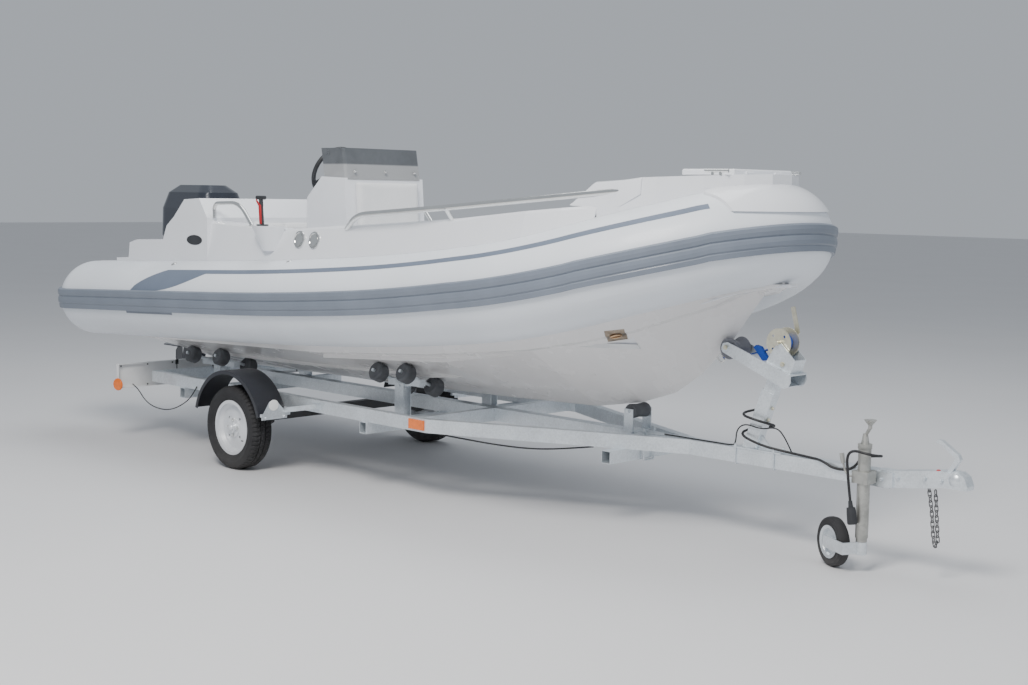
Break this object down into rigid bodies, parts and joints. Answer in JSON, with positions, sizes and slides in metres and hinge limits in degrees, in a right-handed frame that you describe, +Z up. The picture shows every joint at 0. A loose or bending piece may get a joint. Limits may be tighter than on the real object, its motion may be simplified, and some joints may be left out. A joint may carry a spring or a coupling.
{
  "type": "inflatable rib boat",
  "caption": "Rigid inflatable boat with console, smoked screen and outboard motor, standing on its roller road trailer with jockey wheel.",
  "frame": {"origin": "on the ground, under the middle of the whole length and width", "axes": "+X forward to the bow and the trailer's coupling, +Y to port, +Z up"},
  "size_m": [6.557, 2.1, 2.0208],
  "materials": {
    "tube_fabric": "satin",
    "strake_rubber": "satin",
    "gelcoat": "gloss",
    "floor_gelcoat": "satin",
    "cushion": "satin",
    "smoked_screen": "gloss",
    "black_plastic": "satin",
    "stainless": "polished",
    "motor_paint": "gloss",
    "cowl_paint": "gloss",
    "engine": "matte",
    "galvanised": "satin",
    "black_steel": "satin",
    "rim_paint": "gloss",
    "tyre_rubber": "matte",
    "roller_rubber": "matte",
    "board_white": "satin",
    "lamp": "gloss",
    "webbing": "matte",
    "amber": "gloss"
  },
  "bodies": {
    "boat_and_trailer": {"tube_starboard": "tube_fabric", "tube_port": "tube_fabric", "tube_bow": "tube_fabric", "rub_strake": "strake_rubber", "hull": "gelcoat", "coaming_starboard": "gelcoat", "coaming_port": "gelcoat", "bow_deck": "gelcoat", "stern_moulding": "gelcoat", "console": "gelcoat", "front_seat_base": "gelcoat", "cockpit_floor": "floor_gelcoat", "console_pad": "cushion", "front_seat_cushion": "cushion", "bench_cushion": "cushion", "backrest_cushion": "cushion", "windscreen": "smoked_screen", "mudguards": "black_plastic", "control_lever": "black_plastic", "handrails": "stainless", "deck_fillers": "stainless", "deck_cleats": "stainless", "motor_bracket": "motor_paint", "drawbar": "galvanised", "side_rails": "galvanised", "cross_members": "galvanised", "mudguard_brackets": "galvanised", "roller_cradles": "galvanised", "winch_post": "galvanised", "winch": "galvanised", "jockey_tube": "galvanised", "coupling": "galvanised", "coupling_handle": "galvanised", "axle": "black_steel", "rollers": "roller_rubber", "bow_roller": "roller_rubber", "drawbar_lead": "roller_rubber", "lead_plug": "roller_rubber", "thin_cable": "roller_rubber", "board_lead": "roller_rubber", "rail_cable": "roller_rubber", "light_board": "board_white", "rear_lamps": "lamp", "winch_strap": "webbing", "side_markers": "amber"},
    "wheel_starboard": {"tyre_starboard": "tyre_rubber", "rim_starboard": "rim_paint"},
    "wheel_port": {"tyre_port": "tyre_rubber", "rim_port": "rim_paint"},
    "jockey_leg": {"jockey_leg": "galvanised"},
    "jockey_fork": {"jockey_fork": "galvanised"},
    "jockey_wheel": {"jockey_wheel": "roller_rubber", "jockey_rim": "galvanised"},
    "motor_swivel": {"swivel_bracket": "motor_paint"},
    "motor": {"motor_leg": "motor_paint", "motor_cowl": "cowl_paint", "engine_block": "engine"},
    "propeller": {"propeller": "motor_paint"},
    "helm": {"steering_wheel": "black_plastic"},
    "locker_lid": {"bow_locker_lid": "gelcoat"}
  },
  "joints": [
    {"name": "wheel_starboard_spin", "type": "hinge", "parent": "boat_and_trailer", "child": "wheel_starboard", "pos_m": [-1.255, -0.789, 0.261], "axis": [0, 1, 0], "continuous": true},
    {"name": "wheel_port_spin", "type": "hinge", "parent": "boat_and_trailer", "child": "wheel_port", "pos_m": [-1.255, 0.789, 0.261], "axis": [0, 1, 0], "continuous": true},
    {"name": "jockey_slide", "type": "slide", "parent": "boat_and_trailer", "child": "jockey_leg", "axis": [0, 0, 1], "range_m": [-0.15, 0.014]},
    {"name": "jockey_swivel", "type": "hinge", "parent": "jockey_leg", "child": "jockey_fork", "pos_m": [2.795, -0.097, 0.1], "axis": [0, 0, 1], "continuous": true},
    {"name": "jockey_wheel_spin", "type": "hinge", "parent": "jockey_fork", "child": "jockey_wheel", "pos_m": [2.63551, -0.08333, 0.119], "axis": [0.4587, 0.8886, 0], "continuous": true},
    {"name": "motor_tilt", "type": "hinge", "parent": "boat_and_trailer", "child": "motor_swivel", "pos_m": [-2.585, 0, 1.15], "axis": [0, 1, 0], "range_deg": [0, 65]},
    {"name": "motor_steer", "type": "hinge", "parent": "motor_swivel", "child": "motor", "pos_m": [-2.665, 0, 1], "axis": [0, 0, 1], "range_deg": [-30, 30]},
    {"name": "propeller_spin", "type": "hinge", "parent": "motor", "child": "propeller", "pos_m": [-3.183, 0, 0.4], "axis": [1, 0, 0], "continuous": true},
    {"name": "helm_turn", "type": "hinge", "parent": "boat_and_trailer", "child": "helm", "pos_m": [-1.085, -0.17, 1.86], "axis": [-0.9063, 0, 0.4226], "range_deg": [-540, 540]},
    {"name": "locker_lid_hinge", "type": "hinge", "parent": "boat_and_trailer", "child": "locker_lid", "pos_m": [2.108, 0, 1.862], "axis": [0, 1, 0], "range_deg": [0, 90]}
  ],
  "couplings": [
    {"joint": "helm_turn", "follows": "motor_steer", "ratio": -18}
  ]
}
